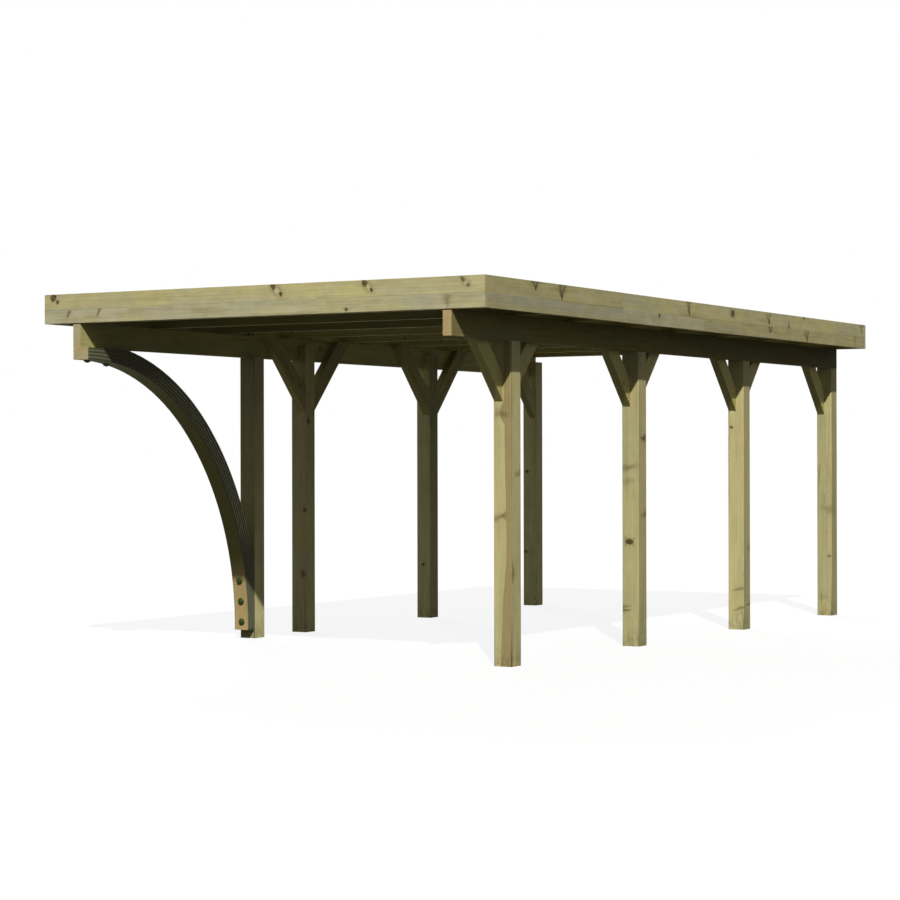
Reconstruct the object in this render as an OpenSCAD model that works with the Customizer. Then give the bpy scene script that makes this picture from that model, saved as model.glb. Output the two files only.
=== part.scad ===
/* [Posts] */
// Side of each square post
post_w = 120; // [100:1:150]
// Distance between post centres along a row
post_pitch = 1740; // [1500:10:2000]
// Width over the outer faces of the two post rows
row_w = 2764; // [2400:2:3000]
// Height of the tongue that stands up behind the purlin on each notched post
tongue_h = 108; // [60:1:130]
// Distance from the first right post's front face back to the first left post's front face
arch_post_setback = 1103; // [1000:1:1300]

/* [Purlins] */
// Thickness of a purlin
purlin_t = 58; // [45:1:70]
// Height of a purlin
purlin_h = 154; // [140:1:200]
// Clear height under the purlins
purlin_z = 1949; // [1900:1:2300]
// Distance from the front fascia's outer face back to the purlins' front ends
purlin_setback = 8; // [0:1:20]

/* [Braces] */
// Thickness of a knee brace
brace_t = 58; // [40:1:62]
// Depth of a knee brace, across its slope
brace_d = 115; // [80:1:130]
// Distance from the purlins' undersides down to a brace's toe on the post
brace_drop = 363; // [300:1:400]
// Slope of a brace above level, in degrees
brace_slope = 47.4; // [42:0.1:50]

/* [Arch] */
// Radial depth of the laminated arch
arch_d = 110; // [90:1:120]
// Inner radius of the arch's lower half
arch_foot_r = 1863; // [1700:1:1900]
// Inner radius of the arch's upper half
arch_head_r = 1613; // [1560:1:1640]
// Depth left at the arch's foot, where its back is cut flat against the post
foot_seat_d = 71; // [60:1:85]
// Depth left at the arch's crown, where its top is cut flat under the purlin
head_seat_d = 76; // [60:1:85]
// Height of the arch's lower end above the ground
arch_toe_z = 61; // [40:1:80]

/* [Arch bolts] */
// Diameter of a bolt's domed head
head_dia = 50; // [30:1:56]
// Height of a bolt's domed head
head_h = 16; // [10:1:20]
// Diameter of a bolt's shank
shank_dia = 12; // [8:1:16]
// Length of a bolt's shank
shank_l = 150; // [120:1:160]
// Clearance around a bolt's shank
shank_gap = 0.25; // [0.1:0.05:0.5]
// Height of the lowest foot bolt above the ground
foot_bolt_z = 116; // [100:1:130]
// Distance between foot bolts
foot_bolt_pitch = 142; // [100:1:150]
// Distance of the first head bolt from the arch's front end
head_bolt_y = 102; // [50:1:120]
// Distance between the head bolts
head_bolt_pitch = 190; // [100:1:270]

/* [Roof] */
// Distance from the front fascia's outer face back to the first right post's front face
front_overhang = 710; // [600:1:800]
// Distance from the last posts' back faces to the rear fascia's outer face
rear_overhang = 42; // [30:1:300]
// Distance from a row's outer faces to the side fascia's outer face
side_overhang = 225; // [150:1:300]
// Thickness of the fascia boards
fascia_t = 28; // [18:1:36]
// Height of an upper fascia board
fascia_upper_h = 100; // [80:1:120]
// Height of a lower fascia board
fascia_lower_h = 86; // [70:1:110]

/* [Rafters] */
// Thickness of a rafter
rafter_t = 58; // [45:1:70]
// Height of a rafter
rafter_h = 120; // [90:1:124]

/* [Roof sheet] */
// Thickness of the sheet
sheet_t = 1.2; // [1:0.1:3]
// Height of the sheet's ribs over its pans
rib_h = 35; // [18:1:40]
// Width of a rib's flat top
rib_top_w = 60; // [40:1:80]
// Width of a pan between two ribs
pan_w = 100; // [80:1:120]
// Distance between ribs that the sheet comes closest to, with whole ribs across the roof
rib_step = 203; // [180:1:240]
// Clearance between the sheet's edges and the fascia boards
sheet_gap = 3; // [1:1:10]

/* [Hidden] */
$fn = 96;
right = 1;
left = -1;
front = -1;
back = 1;
rafter_count = 9;
post_bays = 3;
foot_bolt_count = 3;
head_bolt_count = 2;
// Overshoot of a cut past the face that it opens
cut = 1;
// Angle at which the arch changes from its foot radius to its head radius
arch_split = 45;
// Angle between two points along the arch's edges
arch_step = 1.5;
// Gap that keeps a bolt's flat underside clear of the arch's hollow face
seat_gap = 0.4;
timber = [0.66, 0.62, 0.44];
rafter_shade = [0.58, 0.54, 0.38];
laminate = [0.62, 0.57, 0.40];
bolt_green = [0.20, 0.28, 0.13];
sheet_grey = [0.38, 0.39, 0.39];
row_x = row_w / 2;
roof_w = row_w + 2 * side_overhang;
roof_l = front_overhang + post_bays * post_pitch + post_w + rear_overhang;
front_y = -roof_l / 2;
first_post_y = front_y + front_overhang;
purlin_top = purlin_z + purlin_h;
purlin_front_y = front_y + purlin_setback;
purlin_back_y = first_post_y + post_bays * post_pitch + post_w;
purlin_x = row_x - purlin_t;
tongue_t = post_w - purlin_t;
brace_x = purlin_x - brace_t;
brace_toe_z = purlin_z - brace_drop;
arch_post_y = first_post_y + arch_post_setback;
foot_centre_y = arch_post_y - foot_seat_d - arch_foot_r;
head_centre_y = foot_centre_y + (arch_foot_r - arch_head_r) * cos(arch_split);
head_centre_z = purlin_z - head_seat_d - arch_head_r;
foot_centre_z = head_centre_z - (arch_foot_r - arch_head_r) * sin(arch_split);
foot_bolt_x = -row_x + post_w / 2;
head_bolt_x = -row_x + purlin_t / 2;
inner_w = roof_w - 2 * fascia_t;
inner_l = roof_l - 2 * fascia_t;
rafter_pitch = (inner_l - rafter_t) / (rafter_count - 1);
sheet_w = inner_w - 2 * sheet_gap;
rib_count = round((sheet_w - pan_w) / rib_step);
rib_pitch = (sheet_w - pan_w) / rib_count;
rib_web_w = (rib_pitch - pan_w - rib_top_w) / 2;

// Front face of the post with this number in a row, the first one standing at the front right
function post_y(number) = first_post_y + (number - 1) * post_pitch;

// Front face of the rafter with this number, counted from the front
function rafter_y(number) = -inner_l / 2 + (number - 1) * rafter_pitch;

// Mirrors what is built for the right row onto the given side
module on_side(side) {
    mirror([side == left ? 1 : 0, 0, 0]) children();
}

// Square post, its inner half standing up behind the purlin as a tongue
module post(side, number) {
    color(timber) on_side(side) translate([row_x - post_w, post_y(number), 0]) {
        cube([post_w, post_w, purlin_z]);
        translate([0, 0, purlin_z]) cube([tongue_t, post_w, tongue_h]);
    }
}

// Square post that carries the arch's foot, cut level under the purlin
module arch_post() {
    color(timber) difference() {
        translate([-row_x, arch_post_y, 0]) cube([post_w, post_w, purlin_z]);
        foot_bolt_places() bore();
    }
}

// Purlin along the top of a post row, flush with the posts' outer faces
module purlin(side) {
    color(timber) on_side(side) translate([purlin_x, purlin_front_y, purlin_z])
        cube([purlin_t, purlin_back_y - purlin_front_y, purlin_h]);
}

// Left purlin, drilled from below for the arch's head bolts
module purlin_over_arch() {
    color(timber) difference() {
        purlin(left);
        head_bolt_places() bore();
    }
}

// Outline of a knee brace: y runs out from the post's face and z up from the ground
module brace_outline() {
    slope = tan(brace_slope);
    heel_z = brace_toe_z + brace_d / cos(brace_slope);
    polygon([
        [0, brace_toe_z],
        [(purlin_top - brace_toe_z) / slope, purlin_top],
        [(purlin_top - heel_z) / slope, purlin_top],
        [0, heel_z]
    ]);
}

// Knee brace against a post's front or back face, lapped on the purlin's inner side
module brace(side, number, facing) {
    face_y = post_y(number) + (facing == back ? post_w : 0);
    color(timber) on_side(side) translate([brace_x, face_y, 0])
        turned(facing) rotate([90, 0, 90]) linear_extrude(brace_t) brace_outline();
}

// Turns what is built towards the back to face the given way
module turned(facing) {
    mirror([0, facing == front ? 1 : 0, 0]) children();
}

// Lower or upper edge of the arch in y and z, from its foot to its front end
function arch_edge(depth) = [
    [foot_centre_y + arch_foot_r + depth, min(arch_toe_z, foot_centre_z)],
    for (angle = [0 : arch_step : arch_split])
        [foot_centre_y, foot_centre_z] + (arch_foot_r + depth) * [cos(angle), sin(angle)],
    for (angle = [arch_split + arch_step : arch_step : 90])
        [head_centre_y, head_centre_z] + (arch_head_r + depth) * [cos(angle), sin(angle)],
    [min(purlin_front_y, head_centre_y), head_centre_z + arch_head_r + depth]
];

// Side of the laminated arch, cut flat under the purlin, against the post and square at both ends
module arch_outline() {
    upper = arch_edge(arch_d);
    intersection() {
        polygon(concat(arch_edge(0), [for (i = [len(upper) - 1 : -1 : 0]) upper[i]]));
        translate([purlin_front_y, arch_toe_z])
            square([arch_post_y - purlin_front_y, purlin_z - arch_toe_z]);
    }
}

// Laminated arch in the place of the front left corner post
module arch() {
    color(laminate) difference() {
        translate([-row_x, 0, 0]) rotate([90, 0, 90]) linear_extrude(post_w) arch_outline();
        foot_bolt_places() bore();
        head_bolt_places() bore();
    }
}

// Domed bolt along +z into the timber, its head's underside on the plane z = 0
module bolt() {
    dome_r = (pow(head_dia / 2, 2) + head_h * head_h) / (2 * head_h);
    translate([0, 0, -seat_gap]) mirror([0, 0, 1]) rotate_extrude() intersection() {
        translate([0, head_h - dome_r]) circle(dome_r);
        square([head_dia, head_h]);
    }
    translate([0, 0, -seat_gap - cut]) cylinder(d = shank_dia, h = shank_l);
}

// Hole for a bolt's shank, open at the arch's hollow face
module bore() {
    translate([0, 0, -cut]) cylinder(d = shank_dia + 2 * shank_gap, h = shank_l + cut);
}

// Places on the arch's hollow face above its foot, each square to that face
module foot_bolt_places() {
    for (i = [0 : foot_bolt_count - 1]) {
        rise = foot_bolt_z + i * foot_bolt_pitch - foot_centre_z;
        translate([foot_bolt_x, foot_centre_y, foot_centre_z + min(rise, 0)])
            rotate([asin(max(rise, 0) / arch_foot_r), 0, 0])
                translate([0, arch_foot_r, 0]) rotate([-90, 0, 0]) children();
    }
}

// Places on the arch's hollow face under its head, each square to that face
module head_bolt_places() {
    for (i = [0 : head_bolt_count - 1]) {
        run = purlin_front_y + head_bolt_y + i * head_bolt_pitch - head_centre_y;
        translate([head_bolt_x, head_centre_y + min(run, 0), head_centre_z])
            rotate([-asin(max(run, 0) / arch_head_r), 0, 0])
                translate([0, 0, arch_head_r]) children();
    }
}

module arch_foot_bolts() {
    color(bolt_green) foot_bolt_places() bolt();
}

module arch_head_bolts() {
    color(bolt_green) head_bolt_places() bolt();
}

// Rafter across both purlins, between the side fascias
module rafter(number) {
    color(rafter_shade) translate([-inner_w / 2, rafter_y(number), purlin_top])
        cube([inner_w, rafter_t, rafter_h]);
}

// Fascia board across the front or rear, over the full width
module end_fascia(facing, base_z, height) {
    color(timber) turned(facing) translate([-roof_w / 2, inner_l / 2, base_z])
        cube([roof_w, fascia_t, height]);
}

// Fascia board along a side, between the front and rear boards
module side_fascia(side, base_z, height) {
    color(timber) on_side(side) translate([roof_w / 2 - fascia_t, -inner_l / 2, base_z])
        cube([fascia_t, inner_l, height]);
}

// Under line of the sheet's profile, from the left edge to the right one
function sheet_line() = [
    for (i = [0 : rib_count - 1])
        let (x = i * rib_pitch - sheet_w / 2)
        each [
            [x, 0],
            [x + pan_w, 0],
            [x + pan_w + rib_web_w, rib_h],
            [x + pan_w + rib_web_w + rib_top_w, rib_h]
        ],
    [sheet_w / 2 - pan_w, 0],
    [sheet_w / 2, 0]
];

// Ribbed roof sheet on the rafters, its ribs along the roof
module roof_sheet() {
    under = sheet_line();
    over = [for (i = [len(under) - 1 : -1 : 0]) under[i] + [0, sheet_t]];
    color(sheet_grey)
        translate([0, inner_l / 2 - sheet_gap, purlin_top + rafter_h]) rotate([90, 0, 0])
            linear_extrude(inner_l - 2 * sheet_gap) polygon(concat(under, over));
}

post(right, 1);  // post_right_1
post(right, 2);  // post_right_2
post(right, 3);  // post_right_3
post(right, 4);  // post_right_4
arch_post();  // post_left_1
post(left, 2);  // post_left_2
post(left, 3);  // post_left_3
post(left, 4);  // post_left_4
purlin(right);  // purlin_right
purlin_over_arch();  // purlin_left
brace(right, 1, front);  // brace_right_1_front
brace(right, 1, back);  // brace_right_1_back
brace(right, 2, front);  // brace_right_2_front
brace(right, 2, back);  // brace_right_2_back
brace(right, 3, front);  // brace_right_3_front
brace(right, 3, back);  // brace_right_3_back
brace(right, 4, front);  // brace_right_4_front
brace(left, 2, front);  // brace_left_2_front
brace(left, 2, back);  // brace_left_2_back
brace(left, 3, front);  // brace_left_3_front
brace(left, 3, back);  // brace_left_3_back
brace(left, 4, front);  // brace_left_4_front
arch();
arch_foot_bolts();
arch_head_bolts();
rafter(1);  // rafter_1
rafter(2);  // rafter_2
rafter(3);  // rafter_3
rafter(4);  // rafter_4
rafter(5);  // rafter_5
rafter(6);  // rafter_6
rafter(7);  // rafter_7
rafter(8);  // rafter_8
rafter(9);  // rafter_9
end_fascia(front, purlin_top + fascia_lower_h, fascia_upper_h);  // fascia_front_upper
end_fascia(front, purlin_top, fascia_lower_h);  // fascia_front_lower
end_fascia(back, purlin_top + fascia_lower_h, fascia_upper_h);  // fascia_rear_upper
end_fascia(back, purlin_top, fascia_lower_h);  // fascia_rear_lower
side_fascia(left, purlin_top + fascia_lower_h, fascia_upper_h);  // fascia_left_upper
side_fascia(left, purlin_top, fascia_lower_h);  // fascia_left_lower
side_fascia(right, purlin_top + fascia_lower_h, fascia_upper_h);  // fascia_right_upper
side_fascia(right, purlin_top, fascia_lower_h);  // fascia_right_lower
roof_sheet();
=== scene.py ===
# %% [markdown]
# A timber carport with a laminated arch at one corner.
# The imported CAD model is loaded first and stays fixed: it says where each timber stands.
# This lesson then makes every timber again as planed wood with eased arrises, rings and knots,
# and each new piece stands exactly where its CAD node is.

# %% Load the frame
import math
import random
from collections import namedtuple

import bmesh
import bpy
from mathutils import Matrix, Vector


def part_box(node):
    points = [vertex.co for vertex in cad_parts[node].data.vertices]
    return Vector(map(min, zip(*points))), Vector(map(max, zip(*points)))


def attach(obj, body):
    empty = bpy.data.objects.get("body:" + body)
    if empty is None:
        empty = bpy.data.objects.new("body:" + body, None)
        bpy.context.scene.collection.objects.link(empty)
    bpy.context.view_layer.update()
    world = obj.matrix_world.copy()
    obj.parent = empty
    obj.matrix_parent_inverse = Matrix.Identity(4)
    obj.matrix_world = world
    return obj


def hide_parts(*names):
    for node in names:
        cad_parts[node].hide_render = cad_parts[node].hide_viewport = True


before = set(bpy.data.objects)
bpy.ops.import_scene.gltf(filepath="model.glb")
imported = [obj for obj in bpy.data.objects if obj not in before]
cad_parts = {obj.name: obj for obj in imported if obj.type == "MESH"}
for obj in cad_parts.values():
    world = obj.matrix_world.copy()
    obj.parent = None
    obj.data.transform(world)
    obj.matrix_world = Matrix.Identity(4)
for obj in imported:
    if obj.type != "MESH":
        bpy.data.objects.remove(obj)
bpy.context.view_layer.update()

# %% [markdown]
# The camera comes first, because every later choice is judged through it.
# It could be placed by eye, but the photograph gives enough straight edges to solve it:
# it stands about 15 m away at chest height and looks at the front and right sides through a long lens.

# %% Camera
def put(name, data):
    made = bpy.data.objects.new(name, data)
    bpy.context.scene.collection.objects.link(made)
    return made


CAMERA_PLACE = (8.1798, -14.6516, 1.2510)
HEADING, TILT, ROLL = (math.radians(angle) for angle in (30.384, 90.1851, -0.1171))
camera_data = bpy.data.cameras.new("photo_camera")
camera_data.sensor_width = 36
camera_data.lens = 94.232
camera = put("photo_camera", camera_data)
camera.matrix_world = (
    Matrix.Translation(CAMERA_PLACE)
    @ Matrix.Rotation(HEADING, 4, "Z")
    @ Matrix.Rotation(TILT, 4, "X")
    @ Matrix.Rotation(ROLL, 4, "Z")
)
bpy.context.scene.camera = camera
bpy.context.scene.view_settings.view_transform = "Standard"
print("camera at", tuple(round(x, 3) for x in camera.location), "lens", camera_data.lens)

# %% [markdown]
# One warm key lamp stands high at the front right, so front faces are bright, right faces are duller
# and everything under the roof is in shade. A weak, wide lamp from the rear left keeps the back readable.
# A sun lamp is used for both, because its light is even over the six metres of the roof.

# %% Lamps
def sun(name, direction, strength, angle, colour):
    lamp = bpy.data.lights.new(name, "SUN")
    lamp.energy = strength
    lamp.angle = math.radians(angle)
    lamp.color = colour
    holder = put(name, lamp)
    holder.rotation_euler = Vector(direction).to_track_quat("-Z", "Y").to_euler()
    print(name, "shines along", direction, "at", strength)


sun("key_lamp", (-0.420, 0.646, -0.638), 4.0, 0.8, (1.0, 0.975, 0.93))
sun("back_lamp", (0.6, -0.6, -0.5), 1.6, 20, (0.95, 0.98, 1.0))

# %% [markdown]
# The background is white. A white world would also flood the timber with light,
# so the world is white only to the camera, to reflections and to what is seen through glass,
# and lights the wood at little more than a quarter of that, with a slightly cool tone.

# %% World
FILL_STRENGTH = 0.28
world = bpy.data.worlds.new("studio")
bpy.context.scene.world = world
world.use_nodes = True
nodes, links = world.node_tree.nodes, world.node_tree.links
nodes.clear()


def seen_directly():
    """1 for rays that look at the surface itself: from the camera, a reflection or through glass."""
    path = nodes.new("ShaderNodeLightPath")
    either = path.outputs["Is Camera Ray"]
    for kind in ("Is Glossy Ray", "Is Transmission Ray"):
        larger = nodes.new("ShaderNodeMath")
        larger.operation = "MAXIMUM"
        links.new(either, larger.inputs[0])
        links.new(path.outputs[kind], larger.inputs[1])
        either = larger.outputs[0]
    return either


def two_looks(to_light, to_eye, output):
    """Mixes a shader that only lights the scene with one that is seen directly."""
    mix = nodes.new("ShaderNodeMixShader")
    links.new(seen_directly(), mix.inputs[0])
    links.new(to_light, mix.inputs[1])
    links.new(to_eye, mix.inputs[2])
    links.new(mix.outputs[0], nodes.new(output).inputs[0])


def background(colour, strength):
    made = nodes.new("ShaderNodeBackground")
    made.inputs["Color"].default_value = (*colour, 1)
    made.inputs["Strength"].default_value = strength
    return made.outputs[0]


two_looks(background((0.98, 1.0, 0.98), FILL_STRENGTH), background((1, 1, 1), 1.0), "ShaderNodeOutputWorld")
print("world: white to the camera,", FILL_STRENGTH, "on the timber")

# %% [markdown]
# The floor is plain and pale and only keeps a soft trace of the shadow.
# To the camera it is mostly a white glow mixed with a little matt white that takes the shadow.
# To the light that bounces off it, it is dark ground, so the roof's underside stays as dark as in the photograph.

# %% Floor
SHADOW_SHARE, MATT_WHITE, DARK_GROUND, FLOOR_REACH = 0.13, 0.85, 0.05, 150
floor_paint = bpy.data.materials.new("pale_floor")
floor_paint.use_nodes = True
nodes, links = floor_paint.node_tree.nodes, floor_paint.node_tree.links
nodes.clear()


def matt(value):
    made = nodes.new("ShaderNodeBsdfDiffuse")
    made.inputs["Color"].default_value = (value, value, value, 1)
    return made.outputs[0]


glow = nodes.new("ShaderNodeEmission")
glow.inputs["Strength"].default_value = 1.0
shadow_share = nodes.new("ShaderNodeMixShader")
shadow_share.inputs[0].default_value = SHADOW_SHARE
links.new(glow.outputs[0], shadow_share.inputs[1])
links.new(matt(MATT_WHITE), shadow_share.inputs[2])
two_looks(matt(DARK_GROUND), shadow_share.outputs[0], "ShaderNodeOutputMaterial")

floor_mesh = bmesh.new()
bmesh.ops.create_grid(floor_mesh, x_segments=1, y_segments=1, size=FLOOR_REACH)
floor_data = bpy.data.meshes.new("floor")
floor_mesh.to_mesh(floor_data)
floor_mesh.free()
floor_data.materials.append(floor_paint)
floor = put("floor", floor_data)
print("floor laid at height 0")

# %% [markdown]
# Materials are node trees. Writing each node by hand takes many lines, so this small helper
# adds one node a call and gives back its output. Colours are written as picture values from 0 to 255
# and turned into the linear light values that Blender's sockets take.

# %% Helper for finishes
def tint(red, green, blue):
    def linear(value):
        value /= 255
        return value / 12.92 if value <= 0.04045 else ((value + 0.055) / 1.055) ** 2.4

    return (linear(red), linear(green), linear(blue), 1)


class Finish:
    """A material in the making: each method adds one node and returns its output."""

    def __init__(self, name):
        self.material = bpy.data.materials.new(name)
        self.material.use_nodes = True
        self.tree = self.material.node_tree
        self.shader = self.tree.nodes["Principled BSDF"]

    def add(self, kind, values, output=0, **settings):
        made = self.tree.nodes.new(kind)
        for key, value in settings.items():
            setattr(made, key, value)
        for key, value in values.items():
            self.feed(value, made.inputs[key])
        return made.outputs[output]

    def feed(self, value, socket):
        if isinstance(value, bpy.types.NodeSocket):
            self.tree.links.new(value, socket)
        else:
            socket.default_value = value

    def set(self, **sockets):
        for key, value in sockets.items():
            self.feed(value, self.shader.inputs[key.replace("_", " ")])

    def attribute(self, name, output="Vector"):
        return self.add("ShaderNodeAttribute", {}, output, attribute_name=name)

    def math(self, operation, a, b=0.0, c=0.0):
        return self.add("ShaderNodeMath", {0: a, 1: b, 2: c}, operation=operation)

    def times(self, a, b):
        return self.math("MULTIPLY", a, b)

    def plus(self, a, b):
        return self.math("ADD", a, b)

    def minus(self, a, b):
        return self.math("SUBTRACT", a, b)

    def line(self, value, slope, start):
        """Slope times the value, plus the start."""
        return self.math("MULTIPLY_ADD", value, slope, start)

    def size(self, value):
        return self.math("ABSOLUTE", value)

    def limit(self, value):
        """The value, kept between 0 and 1."""
        return self.math("MINIMUM", self.math("MAXIMUM", value, 0.0), 1.0)

    def vector(self, operation, a, b=(0, 0, 0), output=0):
        return self.add("ShaderNodeVectorMath", {0: a, 1: b}, output, operation=operation)

    def far(self, a, b):
        """Length of the step (a, b)."""
        return self.vector("LENGTH", self.add("ShaderNodeCombineXYZ", {0: a, 1: b}), output="Value")

    def split(self, vector):
        made = self.tree.nodes.new("ShaderNodeSeparateXYZ")
        self.tree.links.new(vector, made.inputs[0])
        return made.outputs

    def noise(self, vector, scale=(1, 1, 1), detail=2.0, roughness=0.5):
        return self.add("ShaderNodeTexNoise", {
            "Vector": self.vector("MULTIPLY", vector, scale), "Scale": 1.0,
            "Detail": detail, "Roughness": roughness})

    def ease(self, value, low, high, to_low=0.0, to_high=1.0):
        return self.add("ShaderNodeMapRange", {
            "Value": value, "From Min": low, "From Max": high, "To Min": to_low, "To Max": to_high},
            interpolation_type="SMOOTHSTEP")

    def fade(self, value, low, high):
        """1 up to the low value, 0 from the high value on."""
        return self.ease(value, low, high, 1.0, 0.0)

    def blend(self, share, first, second, how="MIX"):
        return self.add("ShaderNodeMix", {0: share, 6: first, 7: second}, 2,
                        data_type="RGBA", blend_type=how)


print("finish helper ready")

# %% [markdown]
# Pressure-treated pine is the finish of nearly every piece. A picture of wood pasted on would slide over the edges,
# so the pattern is solid: rings grow around a pith line, branches grow out of it as cones,
# and a face shows whatever it cuts through. Each board carries its own coordinates for this:
# "grain" is the place along and across the fibres from the pith, "branch" the place from the nearest knot's axis,
# "tone" the board's light, greenness and heartwood, and "marks" its sawn ends and worn arrises, the knot's
# darkness and the bark round it. The board's light is a tone of its own on most timbers; on the posts, purlins,
# rafters, right fascia and arch it is partly painted light and shade.

# %% Pine
def pine(name, pale, green, late, heart, contrast=0.5, checks=0.0, damp=0.0, blunt=0.15, figure=0.04, gloss=0.16):
    """Treated pine: colours of sapwood, treatment, latewood and heartwood, then how strongly each mark shows."""
    wood = Finish(name)
    attribute, split, far, noise, blend = wood.attribute, wood.split, wood.far, wood.noise, wood.blend
    ease, fade, times, plus, minus = wood.ease, wood.fade, wood.times, wood.plus, wood.minus
    line, size, limit = wood.line, wood.size, wood.limit
    grain = attribute("grain")
    along, across, through = split(grain)
    light, greenness, heart_radius = split(attribute("tone"))
    edge_kind, core, rim = split(attribute("marks"))
    # A rim up to 1 is firm bark; above that the knot is a spike, which pales towards its tip
    firm = wood.math("MINIMUM", rim, 1.0)
    paling = ease(rim, 1.2, 2.0)

    # Places round a branch: 1 at its bark, in a cone that widens outwards, and a long eye along the grain
    side_a, side_b, outward = split(attribute("branch"))
    wander = noise(grain, (26, 26, 26), 2)
    side_a = line(wander, 1.3, minus(side_a, 0.65))
    cone = wood.math("MAXIMUM", outward, blunt)
    ragged = noise(grain, (75, 75, 75), 3, 0.6)
    off_axis = wood.math("DIVIDE", far(side_a, side_b), cone)
    knot = times(off_axis, line(ragged, 0.9, 0.55))
    eye = far(times(side_a, 0.27), times(side_b, 0.8))
    eye = line(ragged, 0.5, minus(wood.math("DIVIDE", eye, cone), 0.25))
    from_root = ease(outward, 0.0, line(firm, -0.5, 0.6))
    in_reach = times(fade(outward, 1.0, 1.5), from_root)
    around = times(fade(eye, 0.1, 1.5), in_reach)

    # Growth rings, pushed outwards where they flow round a branch; some years grew darker than others
    drift = noise(grain, (0.9, 7, 7), 2)
    ripple = noise(grain, (5, 40, 40), 2)
    radius = line(drift, 0.018, far(across, through))
    radius = line(ripple, 0.0028, radius)
    bulge = times(around, line(firm, 0.008, 0.005))
    years = wood.math("DIVIDE", plus(bulge, radius), 0.0046)
    year = wood.math("FRACT", years)
    harvest = wood.add("ShaderNodeTexWhiteNoise", {"W": wood.math("FLOOR", years)}, "Value", noise_dimensions="1D")
    latewood = times(ease(year, 0.3, 0.88), fade(year, 0.93, 1.0))
    latewood = times(latewood, line(harvest, 0.75, 0.25))

    # Colour: sapwood, greener where the treatment took more, honey and grey flames, heartwood, latewood
    cloud = noise(grain, (0.9, 8, 8), 3)
    bands = noise(grain, (3.4, 1.2, 1.2), 2)
    flame = noise(grain, (2.2, 30, 30), 3, 0.55)
    patch = plus(ease(cloud, 0.33, 0.68, -0.3, 0.4), ease(bands, 0.36, 0.64, -0.22, 0.25))
    share_green = limit(plus(greenness, patch))
    colour = blend(share_green, tint(*pale), tint(*green))
    colour = blend(ease(flame, 0.52, 0.74, 0.0, 0.5), colour, tint(*late))
    colour = blend(ease(flame, 0.26, 0.46, 0.4, 0.0), colour, tint(*green))
    edge = line(around, -0.03, minus(radius, heart_radius))
    edge = line(cloud, 0.016, edge)
    colour = blend(ease(edge, 0.015, 0.022, 0.85, 0.0), colour, tint(*heart))
    colour = blend(times(latewood, contrast), colour, tint(*late))
    streak = noise(grain, (1.6, 95, 95), 3, 0.6)
    fibre = noise(grain, (9, 520, 520), 2, 0.6)
    shade = line(streak, 0.44, 0.78)
    shade = line(fibre, 0.16, minus(shade, 0.08))
    shade = line(bands, 0.16, minus(shade, 0.08))
    waves = noise(grain, (8, 11, 11), 4, 0.65)
    shade = line(ease(waves, 0.3, 0.7, -1.0, 1.0), figure, shade)
    shade = times(shade, light)

    # Round a knot the wood is pale, then dusky in streaks; the branch itself is brown inside dark bark
    cream = times(ease(eye, 0.1, 0.4), ease(eye, 0.45, 0.9, 0.34, 0.0))
    cream = times(times(cream, in_reach), firm)
    colour = blend(cream, colour, tint(198, 190, 148))
    dusk = times(ease(eye, 0.25, 1.15, 0.8, 0.0), ease(flame, 0.38, 0.62))
    dusk = times(dusk, line(firm, 0.3, 0.35))
    colour = blend(times(dusk, in_reach), colour, tint(128, 113, 70))
    splay = minus(size(side_b), times(size(side_a), 0.7))
    arms = fade(size(splay), 0.0, 0.9)
    arms = times(arms, fade(off_axis, 1.6, 3.6))
    arms = times(arms, ease(ragged, 0.36, 0.6, 0.25, 1.0))
    arms = times(arms, wood.math("MAXIMUM", minus(core, 1.0), 0.0))
    colour = blend(arms, colour, tint(84, 74, 44))
    dark = limit(core)
    near_tip = line(paling, -0.65, 0.9)
    deep = ease(outward, 0.1, 0.9, line(firm, 0.5, 1.0), near_tip)
    dark = times(times(dark, in_reach), deep)
    branch_years = wood.math("FRACT", line(ragged, 2.0, times(off_axis, 2.3)))
    branch_wood = blend(ease(branch_years, 0.2, 0.9), tint(104, 88, 53), tint(72, 60, 36))
    fill = fade(knot, times(firm, 0.6), line(firm, -0.8, 2.0))
    colour = blend(times(fill, dark), colour, branch_wood)
    bark = times(ease(knot, 0.25, 0.8), fade(knot, 0.9, 1.9))
    broken = times(ease(ragged, 0.36, 0.6, 0.4, 1.0), line(paling, -0.3, 1.0))
    bark = times(times(bark, firm), broken)
    colour = blend(times(bark, in_reach), colour, tint(54, 47, 28))

    # A branch that lies in the board shows as a pale slanting oval between two dark ends
    lying = limit(times(core, -1.0))
    frayed = line(ragged, 1.1, 0.45)
    diagonal = 1.41

    def oval(centre_a, centre_b, length, width):
        """Distance from a slanting oval, 1 at its rim."""
        a = minus(side_a, centre_a)
        b = minus(side_b, centre_b)
        lengthways = wood.math("DIVIDE", minus(a, b), diagonal * length)
        sideways = wood.math("DIVIDE", plus(a, b), diagonal * width)
        return times(far(lengthways, sideways), frayed)

    for shape, low, high, most, paint in (
            (oval(0.1, -0.1, 4.2, 2.1), 0.3, 1.1, 0.6, (136, 120, 74)),
            (oval(0.3, -0.3, 1.8, 0.9), 0.5, 1.1, 0.6, (200, 191, 146)),
            (oval(-1.35, 1.2, 1.5, 1.1), 0.5, 1.1, 0.9, (76, 62, 38)),
            (oval(1.35, -1.2, 0.95, 0.75), 0.5, 1.1, 0.95, (62, 58, 32))):
        colour = blend(times(ease(shape, low, high, most, 0.0), lying), colour, tint(*paint))

    # Sawn ends show the rings, and worn arrises are paler
    sawn = blend(share_green, tint(174, 150, 106), tint(163, 158, 123))
    sawn = blend(times(latewood, 0.45), sawn, tint(138, 114, 74))
    colour = blend(ease(edge_kind, 0.0, 1.0, 0.0, 0.9), colour, sawn)
    colour = blend(ease(edge_kind, -1.0, 0.0, 0.12, 0.0), colour, tint(190, 183, 144))

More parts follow.
